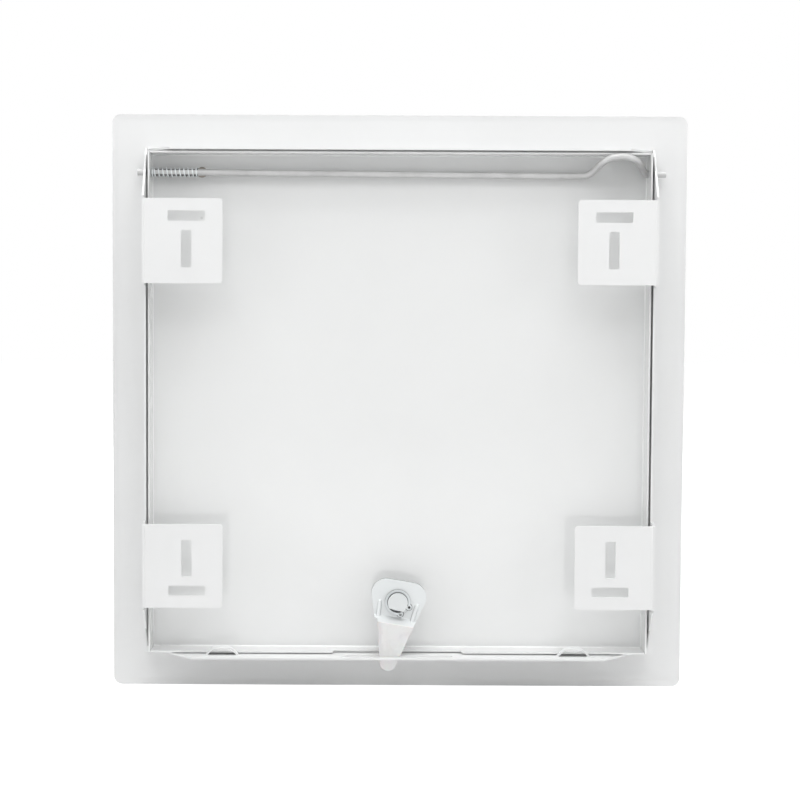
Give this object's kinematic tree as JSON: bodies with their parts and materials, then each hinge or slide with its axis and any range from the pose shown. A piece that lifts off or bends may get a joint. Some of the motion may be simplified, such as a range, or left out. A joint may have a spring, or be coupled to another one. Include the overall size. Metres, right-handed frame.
{
  "type": "wall access panel",
  "caption": "Square steel wall access panel: flanged frame with slotted fixing tabs, lift-out pan door on a sprung hinge rod, and a screwdriver-turned cam latch.",
  "frame": {"origin": "centre of the opening, in the plane of the flange's back face, which rests on the wall", "axes": "+Y into the wall, out of the back of the panel; +Z towards the hinge side; +X towards the hinge rod's spring, which is the left as seen from behind"},
  "size_m": [0.346, 0.0296, 0.346],
  "materials": {
    "frame_paint": "white powder coat on steel sheet, satin",
    "door_paint": "white powder coat on steel sheet, semi-gloss",
    "rod_zinc": "zinc-plated drawn wire, satin",
    "latch_zinc": "bright blue-white zinc plate",
    "spring_steel": "plain spring steel",
    "ring_steel": "phosphated spring steel",
    "sleeve_plastic": "white moulded plastic"
  },
  "bodies": {
    "frame": {"frame": "frame_paint"},
    "door": {"door": "door_paint", "rod_spring": "spring_steel", "spacer_bush": "latch_zinc", "wave_washer": "spring_steel"},
    "hinge_rod": {"hinge_rod": "rod_zinc"},
    "latch": {"latch_stud": "latch_zinc", "latch_cam": "latch_zinc", "cam_sleeve": "sleeve_plastic", "retaining_ring": "ring_steel"}
  },
  "joints": [
    {"name": "door_hinge", "type": "hinge", "parent": "frame", "child": "door", "pos_m": [0, 0.005, 0.1381], "axis": [-1, 0, 0], "range_deg": [0, 130]},
    {"name": "rod_slide", "type": "slide", "parent": "door", "child": "hinge_rod", "axis": [1, 0, 0], "range_m": [0, 0.01], "stiffness_N_per_m": 1500, "springref_m": -0.008, "deforming": ["rod_spring"]},
    {"name": "latch_turn", "type": "hinge", "parent": "door", "child": "latch", "pos_m": [0, 0.0159, -0.1191], "axis": [0, 1, 0], "continuous": true}
  ]
}
